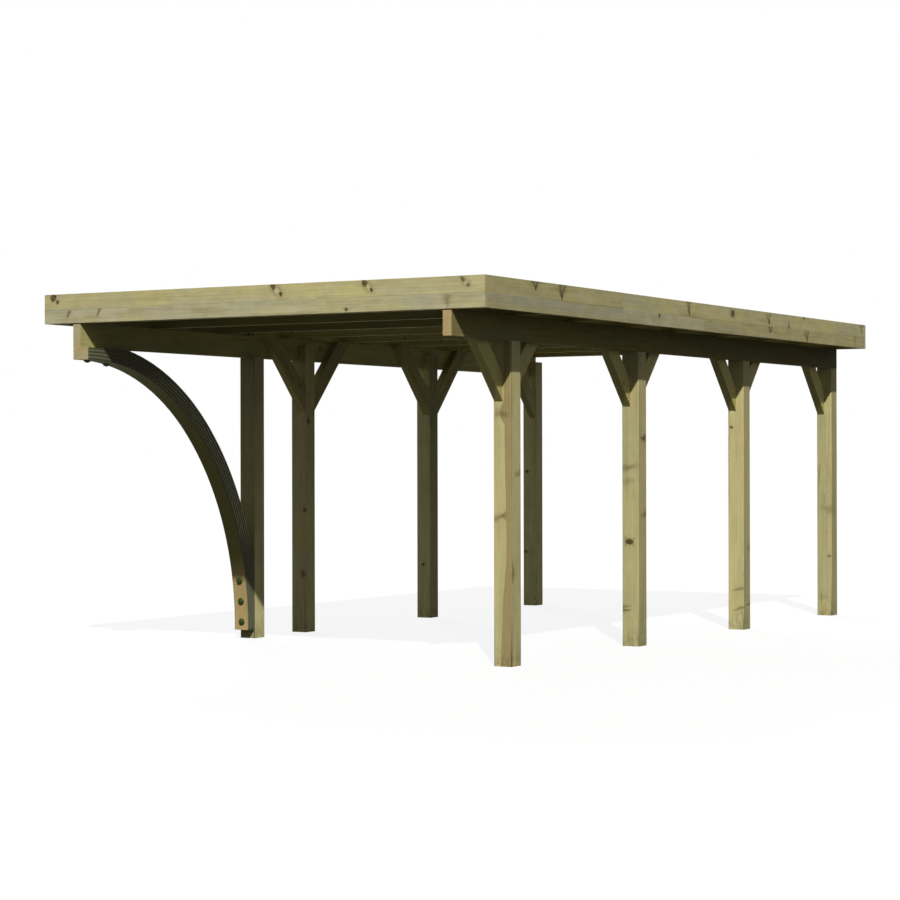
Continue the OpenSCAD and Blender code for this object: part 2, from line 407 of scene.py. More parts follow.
    # Drying checks: thin dark lines that follow the fibres
    if checks:
        path = noise(grain, (0.45, 24, 24), 1)
        crevice = fade(size(minus(path, 0.5)), 0.0008, 0.0032)
        there = ease(noise(grain, (0.9, 3, 3), 1), 0.58, 0.66)
        crack = times(times(crevice, there), checks)
        colour = blend(crack, colour, tint(74, 64, 42))

    # Rain splash near the ground
    if damp:
        height = split(wood.add("ShaderNodeTexCoord", {}, "Object"))[2]
        drops = ease(noise(grain, (24, 40, 40), 3), 0.36, 0.66)
        splash = times(ease(height, 0.0, 0.16, damp, 0.0), drops)
        colour = blend(splash, colour, tint(92, 84, 57))

    colour = wood.vector("MULTIPLY", colour, wood.add("ShaderNodeCombineXYZ", {0: shade, 1: shade, 2: shade}))
    height = plus(times(latewood, 0.5), plus(fibre, streak))
    bump = wood.add("ShaderNodeBump", {"Strength": 0.5, "Distance": 0.0006, "Height": height})
    rough = line(fibre, 0.25, 0.58)
    wood.set(Base_Color=colour, Roughness=rough, Normal=bump, Specular_IOR_Level=gloss)
    print(name, "has", len(wood.tree.nodes), "nodes")
    return wood.material


post_pine = pine("post_pine", (185, 176, 126), (164, 162, 119), (158, 146, 98), (140, 124, 85), 0.45,
                 checks=0.7, damp=0.4, blunt=0.6, gloss=0.08)
brace_pine = pine("brace_pine", (178, 168, 106), (160, 155, 98), (152, 138, 82), (154, 132, 86), 0.45)
purlin_pine = pine("purlin_pine", (176, 163, 98), (160, 156, 108), (148, 132, 76), (148, 124, 78), 0.5,
                   checks=0.5, gloss=0.03)
rafter_pine = pine("rafter_pine", (172, 160, 92), (156, 150, 90), (144, 128, 72), (148, 124, 76), 0.5)
fascia_pine = pine("fascia_pine", (184, 176, 124), (168, 165, 136), (148, 134, 86), (174, 166, 120), 0.45,
                   checks=0.55, figure=0.08)

# %% [markdown]
# A timber is a planed stick: its long arrises are eased, its ends are sawn square.
# A cube from bmesh, stretched to size with its long edges bevelled, is the quickest true start.
# A stick is made lying along X and then placed by a matrix, so its own axes stay known for the grain.

# %% Sticks
def stick(length, width, depth):
    """A block with its length along X, width along Y and depth along Z, centred on the origin."""
    bm = bmesh.new()
    bmesh.ops.create_cube(bm, size=1)
    bmesh.ops.scale(bm, vec=(length, width, depth), verts=bm.verts)
    return bm


def everything(bm):
    return bm.verts[:] + bm.edges[:] + bm.faces[:]


def bevel(bm, geom, offset, segments, affect="EDGES"):
    return bmesh.ops.bevel(bm, geom=geom, offset=offset, offset_type="OFFSET", segments=segments, profile=0.5,
                           affect=affect, material=-1)


def ease_arrises(bm, radius):
    """Rounds the sharp edges that run along X."""
    long_edges = [
        e for e in bm.edges
        if len(e.link_faces) == 2 and e.calc_face_angle() > 0.7
        and abs(e.verts[0].co.x - e.verts[1].co.x) > 0.9 * e.calc_length()
    ]
    for face in bevel(bm, long_edges, radius, 3)["faces"]:
        face.smooth = True


def saw(bm, point, normal, off=False):
    """Cuts all faces along a plane; with off, what lies beyond the plane falls off and the cut is closed."""
    bmesh.ops.bisect_plane(bm, geom=everything(bm), dist=1e-6, plane_co=point, plane_no=normal, clear_outer=off)
    if off:
        bmesh.ops.holes_fill(bm, edges=[e for e in bm.edges if e.is_boundary], sides=0)


def frame_of(along, across, origin):
    """Matrix that lays a stick along one direction, with its width along another, at a place."""
    x, y = Vector(along).normalized(), Vector(across).normalized()
    z = x.cross(y)
    return Matrix.Translation(origin) @ Matrix((x, y, z)).transposed().to_4x4()


UP, RIGHT, BACK = (0, 0, 1), (1, 0, 0), (0, 1, 0)
print("sticks are made along X")

# %% [markdown]
# The wood's own coordinates go on the mesh as attributes of each face corner.
# A board is cut, without being opened, halfway between neighbouring knots,
# so each of its faces knows one branch only and the values run straight across the face.

# %% Wood coordinates
Knot = namedtuple("Knot", "point radius kind root_step")
BRANCH_RISE = 0.2
NO_BRANCH = (40, 40, -1)


def branch_frame(knot, pith, widen):
    """Root, two sides and axis of the branch that comes out at a knot."""
    point = knot.point
    if knot.root_step:
        root = point + Vector(knot.root_step)
    else:
        root = Vector((point.x - BRANCH_RISE * (point.yz - Vector(pith)).length, *pith))
    axis = point - root
    reach = axis.length
    axis.normalize()
    side = (Vector((1, 0, 0)) - axis * axis.x).normalized()
    return root, side / knot.radius, axis.cross(side) / (knot.radius * widen), axis / reach


def between(bends, x):
    """Values at a place along the stick, on straight lines between its bends."""
    for first, second in zip(bends, bends[1:]):
        if x <= second[0] or second is bends[-1]:
            share = (x - first[0]) / (second[0] - first[0])
            return [a + share * (b - a) for a, b in zip(first[1:], second[1:])]


def wood_layers(bm):
    return [bm.loops.layers.float_vector.new(name) for name in ("grain", "branch", "tone", "marks")]


def season(bm, place, knots, pith, tone, shift, painted_side_light=lambda normal: 1.0, bends=(), widen=1.0):
    """Writes the wood's coordinates on a placed mesh. A tone is light, greenness, heartwood radius, light per metre.
    Bends are (place along, pith across, pith through, heartwood's radius), where these change along the stick."""
    knots = sorted(knots, key=lambda knot: knot.point.x)
    turn = place.to_3x3()
    for bend in bends:
        saw(bm, place @ Vector((bend[0], 0, 0)), turn.col[0])
    for first, second in zip(knots, knots[1:]):
        gap = second.point - first.point
        gap.z = 0
        saw(bm, place @ ((first.point + second.point) / 2), turn @ gap)
    branches = [(knot, branch_frame(knot, pith, widen)) for knot in knots]
    board_light, greenness, heart_radius, light_per_metre = tone
    grain, branch, shade, marks = wood_layers(bm)
    back = place.inverted()
    for face in bm.faces:
        is_end = abs((back.to_3x3() @ face.normal).x) > 0.5
        middle = back @ face.calc_center_median()
        nearest = min(branches, key=lambda b: (b[0].point.xy - middle.xy).length, default=None)
        kind = nearest[0].kind if nearest else (0, 0)
        # The board's light times the painted light of a face, where one is given
        light = board_light * painted_side_light(face.normal)
        for loop in face.loops:
            here = back @ loop.vert.co
            across, through, heart = between(bends, here.x) if bends else (*pith, heart_radius)
            loop[grain] = (here.x + shift, here.y - across, here.z - through)
            loop[shade] = (light * (1 + here.x * light_per_metre), greenness, heart)
            loop[marks] = (1 if is_end else -1 if face.smooth else 0, *kind)
            if nearest:
                root, side_a, side_b, axis = nearest[1]
                away = here - root
                loop[branch] = (away.dot(side_a), away.dot(side_b), away.dot(axis))
            else:
                loop[branch] = NO_BRANCH


def piece(name, bm, material, slot, *nodes):
    """Makes the mesh an object that stands for CAD nodes and rides on the frame."""
    bmesh.ops.recalc_face_normals(bm, faces=bm.faces)
    data = bpy.data.meshes.new(name)
    bm.to_mesh(data)
    bm.free()
    data.materials.append(material)
    made = put(name, data)
    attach(made, "root")
    if nodes:
        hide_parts(*nodes)
    return made


print("wood coordinates: grain, branch, tone, marks")

# %% [markdown]
# Knots that the photograph shows clearly are put where they are: a point on the timber's face in metres, a radius,
# a kind and, for a branch with a root of its own, the step back to that root along the timber, across and through it.
# A kind is how dark the branch is and how much bark is round it. Darkness above 1 gives four arms in the grain,
# as on a splayed knot and more faintly on a whiskered one. Below 0 the branch lies in the board and shows its side.
# Bark above 1 makes a spike, which pales towards its tip.
# Other timbers get a few small ones by chance, from the timber's own name as the seed, so every run is the same.

# %% Knots
FAINT, SMEAR, DUSKY, SPIKE, TIGHT = (0.3, 0.0), (0.55, 0.0), (0.85, 0.1), (0.8, 2.0), (1.0, 1.0)
SPLAYED, WHISKERED, LYING, LYING_PALE = (1.8, 1.0), (1.6, 1.0), (-1.0, 0.0), (-0.8, 0.0)
STRAIGHT_IN = (0, 0, -0.05)
SEEN_KNOTS = {
    "post_right_1": [
        ((1.296, -2.336, 1.516), 0.020, SMEAR, (-0.020, 0.088, 0)),
        ((1.262, -2.336, 0.886), 0.014, SMEAR, (0.028, 0.110, 0)),
        ((1.382, -2.222, 1.160), 0.022, SMEAR, (-0.020, 0, -0.095)),
        ((1.382, -2.312, 0.556), 0.016, FAINT)],
    "post_right_2": [
        ((1.316, -0.596, 0.690), 0.014, WHISKERED),
        ((1.262, -0.596, 1.176), 0.020, SMEAR, (0.024, 0.140, 0)),
        ((1.262, -0.596, 1.090), 0.020, FAINT, (0.010, 0.120, 0)),
        ((1.262, -0.596, 0.258), 0.008, SMEAR, (0.014, 0.080, 0)),
        ((1.262, -0.596, 0.236), 0.008, DUSKY, (0.006, 0.075, 0)),
        ((1.382, -0.500, 1.378), 0.018, DUSKY, (-0.005, 0, -0.080)),
        ((1.382, -0.485, 0.876), 0.020, SMEAR, (-0.022, 0, -0.100))],
    "post_right_3": [
        ((1.289, 1.144, 1.466), 0.006, TIGHT),
        ((1.370, 1.144, 0.298), 0.008, SMEAR, (-0.020, -0.100, 0)),
        ((1.381, 1.144, 0.164), 0.008, SMEAR, (-0.036, -0.110, 0)),
        ((1.382, 1.250, 0.182), 0.009, DUSKY, (-0.016, 0, -0.090)),
        ((1.382, 1.240, 0.593), 0.012, SMEAR)],
    "post_right_4": [
        ((1.360, 2.884, 0.830), 0.020, FAINT, (0.040, -0.085, 0)),
        ((1.362, 2.884, 0.470), 0.009, DUSKY),
        ((1.300, 2.884, 0.147), 0.020, FAINT, (0.004, 0.070, 0))],
    "post_left_2": [
        ((-1.268, -0.596, 0.878), 0.010, DUSKY), ((-1.284, -0.596, 0.418), 0.015, SMEAR),
        ((-1.262, -0.560, 1.513), 0.010, DUSKY)],
    "fascia_front_upper": [
        ((-1.534, -3.046, 2.268), 0.020, TIGHT, STRAIGHT_IN),
        ((-1.503, -3.046, 2.240), 0.011, TIGHT, STRAIGHT_IN),
        ((0.177, -3.046, 2.254), 0.021, LYING, STRAIGHT_IN),
        ((0.822, -3.046, 2.250), 0.018, LYING, STRAIGHT_IN),
        ((1.480, -3.046, 2.250), 0.014, LYING_PALE, STRAIGHT_IN)],
    "fascia_front_lower": [
        ((-1.410, -3.046, 2.172), 0.009, DUSKY, (-0.028, -0.05, -0.002)),
        ((-1.165, -3.046, 2.182), 0.010, DUSKY, (-0.032, -0.06, -0.002)),
        ((0.671, -3.046, 2.121), 0.008, TIGHT),
        ((1.357, -3.046, 2.165), 0.020, SMEAR, (0.004, -0.075, -0.002))],
    "fascia_right_upper": [
        ((1.607, -2.444, 2.289), 0.036, SPIKE, (0.008, -0.057, 0)),
        ((1.607, -2.105, 2.289), 0.038, SPIKE, (-0.006, -0.098, 0)),
        ((1.607, -0.289, 2.289), 0.022, SPIKE, (0.012, -0.110, 0)),
        ((1.607, 0.442, 2.246), 0.019, SPLAYED, STRAIGHT_IN),
        ((1.607, 1.086, 2.261), 0.028, SPIKE, (0.010, -0.062, 0)),
        ((1.607, 1.463, 2.199), 0.014, DUSKY, (-0.006, 0.069, 0)),
        ((1.607, 1.756, 2.289), 0.020, DUSKY, (-0.008, -0.035, 0)),
        ((1.607, 2.955, 2.270), 0.022, SPIKE, (0.020, -0.060, 0))],
    "fascia_right_lower": [
        ((1.607, -0.746, 2.172), 0.010, SPLAYED, STRAIGHT_IN),
        ((1.607, 1.113, 2.189), 0.032, SPIKE, (-0.010, -0.050, 0)),
        ((1.607, 1.808, 2.175), 0.034, SPIKE, (0.014, -0.070, 0)),
        ((1.607, 2.807, 2.175), 0.016, SMEAR, (0.010, -0.070, 0))],
}


def knots_for(node, place, length, width, depth):
    """The knots seen on a timber, or else a few by chance, on the stick's own axes."""
    if node in SEEN_KNOTS:
        back = place.inverted()
        return [Knot(back @ Vector(point), radius, kind, step[0] if step else None)
                for point, radius, kind, *step in SEEN_KNOTS[node]]
    chance = random.Random(node)
    found, x = [], -length / 2 + chance.uniform(0.15, 0.7)
    while x < length / 2 - 0.1:
        face = chance.choice((0.5, -0.5))
        point = Vector((x, chance.uniform(-0.36, 0.36) * width, face * depth))
        radius = chance.uniform(0.005, 0.012)
        found.append(Knot(point, radius, chance.choice((FAINT, SMEAR, DUSKY, TIGHT)), None))
        x += chance.uniform(0.4, 1.1)
    return found


RAFTERS, SEEN_RAFTERS = range(1, 10), (1, 2, 3)
# Light, greenness and heartwood radius of single lengths; a second length of a board has " 1" after its name.
# The light here is painted light and shade, with some tone of its own between lengths: the right purlin dark,
# the left purlin light, the right fascia darker than the front, the first three rafters dark and those behind
# lighter.
LENGTH_TONES_AND_PAINTED_LIGHT = {
    "purlin_right": (0.36, 0.3, 0.0), "purlin_left": (1.75, 0.8, 0.0),
    "fascia_front_upper": (0.95, 0.2, 0.0), "fascia_front_lower": (0.97, 0.75, 0.0),
    "fascia_right_upper": (0.78, 0.05, 0.0), "fascia_right_upper 1": (0.84, 0.35, 0.0),
    "fascia_right_lower": (0.76, 1.0, 0.043), "fascia_right_lower 1": (0.86, 0.6, 0.0),
    "fascia_right_lower 2": (0.70, 0.1, 0.0),
    **{f"rafter_{i}": (0.78, 0.7, 0.0) if i in SEEN_RAFTERS else (1.3 + 0.04 * i, 0.05, 0.0) for i in RAFTERS},
}
# Change of light per metre along a timber: painted light and shade on the purlins, darker towards the back on the
# right one and lighter towards the back on the left one; on the front upper board a gentle change of tone, lighter
# towards the right.
TONE_AND_PAINTED_LIGHT_PER_METRE = {"purlin_right": -0.16, "purlin_left": 0.10, "fascia_front_upper": 0.05}


def tone_for(node, green=0.3, heart=0.02):
    chance = random.Random(node + " tone")
    by_chance = (chance.uniform(0.93, 1.06), green + chance.uniform(-0.15, 0.15), heart * chance.uniform(0.4, 1.3))
    return (*LENGTH_TONES_AND_PAINTED_LIGHT.get(node, by_chance), TONE_AND_PAINTED_LIGHT_PER_METRE.get(node, 0.0))


def pith_for(node, width, depth):
    """Where the tree's pith runs, seen from the stick's middle: behind one of the wide faces."""
    chance = random.Random(node + " pith")
    return (chance.uniform(-0.3, 0.3) * width, chance.choice((-1, 1)) * (depth / 2 + chance.uniform(0.0, 0.05)))


def shift_for(node):
    return random.Random(node + " shift").uniform(0, 90)


print("knots set by hand on", len(SEEN_KNOTS), "timbers")

# %% [markdown]
# Posts are 120 mm square. At the top the outer half is cut away, so the purlin sits on a shoulder
# and the inner half stands up behind it as a tongue. It could be a boolean cut, but splitting the end face
# and pulling its inner half upwards gives a clean mesh. The post behind the arch is cut level instead.

# %% Posts
THICK_ARRIS, KNOT_WIDENING = 0.004, 1.6
# The first right post shows its heart as a streak:
# height, the pith's place from the middle, across and through, and the heartwood's radius
HEART_LINES = {"post_right_1": [(height, across, -0.078, heart) for height, across, heart in (
    (0.0, 0.025, 0.046), (0.38, 0.033, 0.041), (0.62, 0.050, 0.032), (0.95, 0.047, 0.030), (1.45, 0.046, 0.031),
    (1.72, 0.038, 0.037), (2.06, 0.038, 0.037))]}
# These show none
CLEAR_POSTS = ("post_right_2", "post_right_3", "post_right_4")
# Painted light and shade on the front and right faces, as multiples of the wood's colour: the right posts' right
# faces darker, the left posts' faces in the roof's shade mostly lighter
PAINTED_FACE_LIGHTS = {"post_right_1": (1.04, 0.95), "post_right_2": (0.97, 0.80), "post_right_3": (1.12, 0.80),
               "post_right_4": (1.0, 0.72), "post_left_1": (0.75, 1.35), "post_left_2": (1.02, 1.4),
               "post_left_3": (1.6, 0.95), "post_left_4": (1.7, 1.35)}


def verts_of(geom):
    return [v for v in geom if isinstance(v, bmesh.types.BMVert)]


def extrude_by(bm, geom, vec):
    pulled = bmesh.ops.extrude_face_region(bm, geom=geom)["geom"]
    bmesh.ops.translate(bm, vec=vec, verts=verts_of(pulled))
    return pulled


def post(node):
    outer_side = 1 if "right" in node else -1
    low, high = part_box(node)
    size = high - low
    purlin_low, purlin_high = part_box("purlin_right")
    shoulder = purlin_low.z
    inner_half = size.x - (purlin_high.x - purlin_low.x)
    bm = stick(shoulder, size.x, size.y)
    if size.z > shoulder + 0.001:
        split_y = outer_side * (inner_half - size.x / 2)
        saw(bm, (0, split_y, 0), BACK)
        inner = [f for f in bm.faces if f.normal.x > 0.9 and outer_side * (f.calc_center_median().y - split_y) < 0]
        extrude_by(bm, inner, (size.z - shoulder, 0, 0))
        bmesh.ops.delete(bm, geom=[f for f in inner if f.is_valid], context="FACES_ONLY")
    ease_arrises(bm, THICK_ARRIS)
    middle = (low + high) / 2
    place = frame_of(UP, RIGHT, (middle.x, middle.y, shoulder / 2))
    bmesh.ops.transform(bm, matrix=place, verts=bm.verts)
    chance = random.Random(node + " heart")
    pith = (chance.uniform(-0.04, 0.04), chance.uniform(-0.04, 0.04))
    bends = [(height - shoulder / 2, *values) for height, *values in HEART_LINES.get(node, ())]
    tone = (1.0, *tone_for(node, 0.15, 0.0 if node in CLEAR_POSTS else 0.022)[1:])
    front, right = PAINTED_FACE_LIGHTS[node]

    # Painted light and shade, face by face
    def painted_side_light(normal):
        return front if normal.y < -0.7 else right if normal.x > 0.7 else (front + right) / 2

    season(bm, place, knots_for(node, place, shoulder, size.x, size.y), pith,
           tone, shift_for(node), painted_side_light, bends, KNOT_WIDENING)
    return piece("pine_" + node, bm, post_pine, "post_timber", node)


posts = [post(node) for node in PAINTED_FACE_LIGHTS]
print(len(posts), "posts, the first with", len(posts[0].data.polygons), "faces")

# %% [markdown]
# Purlins, rafters and fascia boards are straight sticks that fill their CAD boxes.
# A fascia board can be too long for one length of timber: then lengths meet in butt joints,
# as the photograph shows on the right side.

# %% Straight timbers
def join(whole, bm):
    """Adds a mesh to another and frees it."""
    part = bpy.data.meshes.new("part")
    bm.to_mesh(part)
    bm.free()
    whole.from_mesh(part)
    bpy.data.meshes.remove(part)


def straight(node, material, slot, along, across, arris, joints=(), green=0.3, heart=0.02, pith=None,
             end_light=1.0, under_light=1.0):
    def light_of(normal):
        if abs(normal.dot(Vector(along))) > 0.7:
            return end_light
        # Faces that look down can take painted shade
        return under_light if normal.z < -0.5 else 1.0

    low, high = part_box(node)
    size, middle = high - low, (low + high) / 2
    place = frame_of(along, across, middle)
    length, width, depth = (abs(size.dot(Vector(place.col[i][:3]))) for i in range(3))
    ends = [-length / 2] + [j - middle.dot(Vector(along)) for j in joints] + [length / 2]
    whole = bmesh.new()
    for number, (first, last) in enumerate(zip(ends, ends[1:])):
        name = f"{node} {number}" if number else node
        bm = stick(last - first, width, depth)
        ease_arrises(bm, arris)
        bmesh.ops.translate(bm, vec=((first + last) / 2, 0, 0), verts=bm.verts)
        bmesh.ops.transform(bm, matrix=place, verts=bm.verts)
        knots = [k for k in knots_for(node, place, length, width, depth) if first < k.point.x < last]
        season(bm, place, knots, pith or pith_for(name, width, depth), tone_for(name, green, heart),
               shift_for(name), light_of)
        join(whole, bm)
    return piece("pine_" + node, whole, material, slot, node)


# The purlins' ends get their own light, which undoes part of the painted shade on the right purlin and the painted
# light on the left one.
purlins = [straight(f"purlin_{side}", purlin_pine, "purlin_timber", BACK, UP, THICK_ARRIS, end_light=end)
           for side, end in (("right", 1.9), ("left", 0.85))]
rafters = []
for i in RAFTERS:
    # Rafters behind the first three get painted shade on their undersides and lower arrises, at half their light.
    arris, under = (0.002, 1.0) if i in SEEN_RAFTERS else (0.001, 0.5)
    rafters.append(straight(f"rafter_{i}", rafter_pine, "rafter_timber", RIGHT, UP, arris, under_light=under))
print(len(purlins), "purlins and", len(rafters), "rafters")

# %% [markdown]
# The fascia is two boards high. Upper boards are yellower with bold knots, lower boards greyer and finer.
# On the long sides the branches run up inside the board's face, so their knots show as long spikes:
# the pith lies just under the board's lower edge there.

# %% Fascia
LENGTHS = {"fascia_right_upper": (-1.28,), "fascia_right_lower": (-1.275, -0.046),
           "fascia_left_upper": (1.28,), "fascia_left_lower": (0.046, 1.275)}
FASCIA_ARRIS, PITH_BELOW, PITH_BEHIND = 0.0015, (-0.058, -0.004), (-0.03, -0.06)
fascias = []
for side, along in (("front", RIGHT), ("rear", RIGHT), ("left", BACK), ("right", BACK)):
    for level, green in (("upper", 0.15), ("lower", 0.9)):
        node = f"fascia_{side}_{level}"
        pith = PITH_BELOW if along is BACK else PITH_BEHIND
        fascias.append(straight(node, fascia_pine, "fascia_timber", along, UP, FASCIA_ARRIS,
                                LENGTHS.get(node, ()), green, 0.0, pith=pith))
print(len(fascias), "fascia boards")

# %% [markdown]
# A knee brace is a sloping stick, sawn upright where it meets the post and level at its top.
# The stick is made too long at both ends and sawn twice, and the cuts are closed.

# %% Braces
def brace(node):
    low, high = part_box(node)
    size = high - low
    forward = -1 if node.endswith("front") else 1
    face_y = high.y if forward < 0 else low.y
    slope = math.atan2(size.z, size.y)
    depth, arris, spare = 0.115, 0.003, 0.3
    middle_x = (low.x + high.x) / 2
    along = Vector((0, forward * math.cos(slope), math.sin(slope)))
    across = Vector((0, -forward * math.sin(slope), math.cos(slope)))
    start = Vector((middle_x, face_y, low.z)) + across * depth / 2
    length = 2 * size.z
    bm = stick(length, depth, size.x)
    ease_arrises(bm, arris)
    place = frame_of(along, across, start + along * (length / 2 - spare))
    bmesh.ops.transform(bm, matrix=place, verts=bm.verts)
    saw(bm, (0, face_y, 0), (0, -forward, 0), off=True)
    saw(bm, (0, 0, high.z), UP, off=True)
    season(bm, place, knots_for(node, place, length, depth, size.x), pith_for(node, depth, size.x),
           tone_for(node), shift_for(node))
    return piece("pine_" + node, bm, brace_pine, "brace_timber", node)


braces = [brace(node) for node in sorted(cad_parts) if node.startswith("brace_")]
print(len(braces), "braces")

# %% [markdown]
# The arch is glued from five thin boards, bent and cut flat where it meets the purlin and the post.
# One thick curved beam with painted lines would do from afar, but five boards with well rounded edges
# give real grooves. Each board's end is spun along two arcs and then trimmed.
# Along the outer edge of each board's side runs a pale strip, a painted highlight that shows as a light line even in
# the shade.
# The sides are painted lighter where the arch is in shade and darker where the sun falls on them, the rounded edges
# lighter where they face outwards, and the hollow face darker and greener higher up, above its sunlit foot.

# %% Arch
ARCH_WIDTH, ARCH_DEPTH, BOARDS, ROUNDING = 0.120, 0.110, 5, 0.006
FOOT_RADIUS, HEAD_RADIUS = 1.863, 1.613
FOOT_SEAT, HEAD_SEAT, EIGHTH, ARC_STEPS = 0.071, 0.076, math.pi / 4, 36
BOARD = ARCH_DEPTH / BOARDS
STRIP = BOARD / 2 - ROUNDING - 0.005
# Painted light of the strips and of the sides between them, and the painted light each gains between two heights,
# where the arch is in shade
PAINTED_STRIP_LIGHT, PAINTED_ARCH_SIDE_LIGHT, SHADE_LOW, SHADE_HIGH = (0.5, 1.3), (0.32, 0.34), 0.6, 1.82
arch_low, arch_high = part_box("arch")
foot_centre = Vector((0, arch_high.y - FOOT_SEAT - FOOT_RADIUS, 0))
head_centre = Vector((0, 0, arch_high.z - HEAD_SEAT - HEAD_RADIUS))
head_centre.y = foot_centre.y + (FOOT_RADIUS - HEAD_RADIUS) * math.cos(EIGHTH)
foot_centre.z = head_centre.z - (FOOT_RADIUS - HEAD_RADIUS) * math.sin(EIGHTH)
arch_x = (arch_low.x + arch_high.x) / 2
laminated_pine = pine("laminated_pine", (174, 152, 104), (128, 127, 66), (146, 124, 72), (150, 153, 128), 0.35)


def arch_place(point):
    """Place along the arch from its foot, across it, and outwards from its hollow face."""
    foot, head = point - foot_centre, point - head_centre
    if point.z < foot_centre.z:
        return foot.z, point.x - arch_x, foot.y - FOOT_RADIUS
    angle = math.atan2(foot.z, foot.y)
    if angle < EIGHTH:
        return angle * FOOT_RADIUS, point.x - arch_x, foot.yz.length - FOOT_RADIUS
    so_far = EIGHTH * FOOT_RADIUS
    angle = math.atan2(head.z, head.y) - EIGHTH
    if head.y > 0:
        return so_far + angle * HEAD_RADIUS, point.x - arch_x, head.yz.length - HEAD_RADIUS
    return so_far + EIGHTH * HEAD_RADIUS - head.y, point.x - arch_x, head.z - HEAD_RADIUS


def ramp(value, start, run):
    """Rises from 0 at the start to 1 after the run."""
    return min(max((value - start) / run, 0.0), 1.0)


def bent_board(number):
    bm = bmesh.new()
    bmesh.ops.create_grid(bm, x_segments=1, y_segments=1, size=0.5)
    bmesh.ops.scale(bm, vec=(ARCH_WIDTH, BOARD, 1), verts=bm.verts)
    bevel(bm, bm.verts[:], ROUNDING, 4, "VERTICES")
    saw(bm, (0, STRIP, 0), BACK)
    foot = (arch_x, foot_centre.y + FOOT_RADIUS + (number + 0.5) * BOARD, arch_low.z)
    bmesh.ops.translate(bm, verts=bm.verts, vec=foot)
    tip = extrude_by(bm, everything(bm), (0, 0, foot_centre.z - arch_low.z))
    for centre in (foot_centre, head_centre):
        tip = bmesh.ops.spin(bm, geom=tip, cent=centre, axis=RIGHT, angle=EIGHTH, steps=ARC_STEPS,
                             use_merge=False, use_duplicate=False)["geom_last"]
    extrude_by(bm, tip, (0, arch_low.y - head_centre.y, 0))
    saw(bm, (0, 0, arch_high.z), UP, off=True)
    saw(bm, (0, arch_high.y, 0), BACK, off=True)
    bmesh.ops.recalc_face_normals(bm, faces=bm.faces)
    return bm


def season_board(bm, number):
    """Wood coordinates along the bend, with painted light and shade: the sides are dark with pale strips of painted
    highlight and lighter where the arch is in shade, rounded edges facing outwards lighter, and the hollow face
    darker and greener higher up, above its sunlit foot.
    """
    grain, branch, shade, marks = wood_layers(bm)
    chance = random.Random(f"lamination {number}")
    light, green = chance.uniform(0.9, 1.0), chance.uniform(0.3, 0.5)
    pith, shift = (chance.uniform(-0.05, 0.05), chance.uniform(0.04, 0.09)), chance.uniform(0, 60)
    for face in bm.faces:
        middle = face.calc_center_median()
        is_end = middle.y < arch_low.y + 1e-4 or middle.z < arch_low.z + 1e-4
        centre = foot_centre if middle.z - foot_centre.z < middle.y - foot_centre.y else head_centre
        facing = face.normal.dot((middle - centre).normalized())
        sideways = abs(face.normal.x)
        painted_arch_side_share = 0.0
        if sideways > 0.97:
            # Painted light: the sides are lighter between the two heights, where the arch is in shade
            shaded = ramp(middle.z, SHADE_LOW, 0.2) * ramp(-middle.z, -SHADE_HIGH, 0.1)
            on_strip = arch_place(middle)[2] > (number + 0.5) * BOARD + STRIP
            base, gain = PAINTED_STRIP_LIGHT if on_strip else PAINTED_ARCH_SIDE_LIGHT
            painted_arch_side_share = base + gain * shaded
        elif sideways > 0.1:
            # Painted light and shade on the rounded edges: lighter where they face outwards, darker where they face
            # inwards
            painted_arch_side_share = 0.7 if facing > 0 and sideways > 0.5 else 0.35
            face.smooth = True
        for loop in face.loops:
            along, across, outwards = arch_place(loop.vert.co)
            loop[grain] = (along + shift, across - pith[0], outwards - number * BOARD + pith[1])
            loop[branch] = NO_BRANCH
            # Painted shade on the hollow face: darker and greener above the sunlit foot
            painted_shade_above_foot = ramp(loop.vert.co.z, 0.42, 0.2)
            if painted_arch_side_share:
                loop[shade] = (painted_arch_side_share * light, 1.0, 1.0)
            elif is_end:
                loop[shade] = (light, green, 0.0)
            else:
                loop[shade] = (light * (1 - 0.36 * painted_shade_above_foot), 1.2 * painted_shade_above_foot - 0.1, 0.0)
            loop[marks] = (1 if is_end else 0, 0, 0)


arch_boards = bmesh.new()
for number in range(BOARDS):
    board = bent_board(number)
    season_board(board, number)
    join(arch_boards, board)
print("arch boards have", len(arch_boards.faces), "faces")
piece("laminated_arch", arch_boards, laminated_pine, "laminated_timber", "arch")

# %% [markdown]
# The arch is held by bolts under dark green domed caps, three at its foot and two under its head.
# A cap is a turned shape: half its outline is drawn as a few points and spun once round its axis.

# %% Bolt caps
CAP_RADIUS, CAP_HEIGHT, CAP_EDGE = 0.025, 0.016, 0.001
FOOT_BOLT_HEIGHTS, HEAD_BOLT_STEPS, HEAD_BOLT_INSET = (0.116, 0.258, 0.400), (0.102, 0.292), 0.029


def cap_paint():
    paint = Finish("green_cap")
    spots = paint.noise(paint.add("ShaderNodeTexCoord", {}, "Object"), (220, 220, 220), 3)
    colour = paint.blend(spots, tint(32, 48, 8), tint(52, 72, 16))
    paint.set(Base_Color=colour, Roughness=paint.line(spots, 0.1, 0.32), Specular_IOR_Level=0.12)
    return paint.material


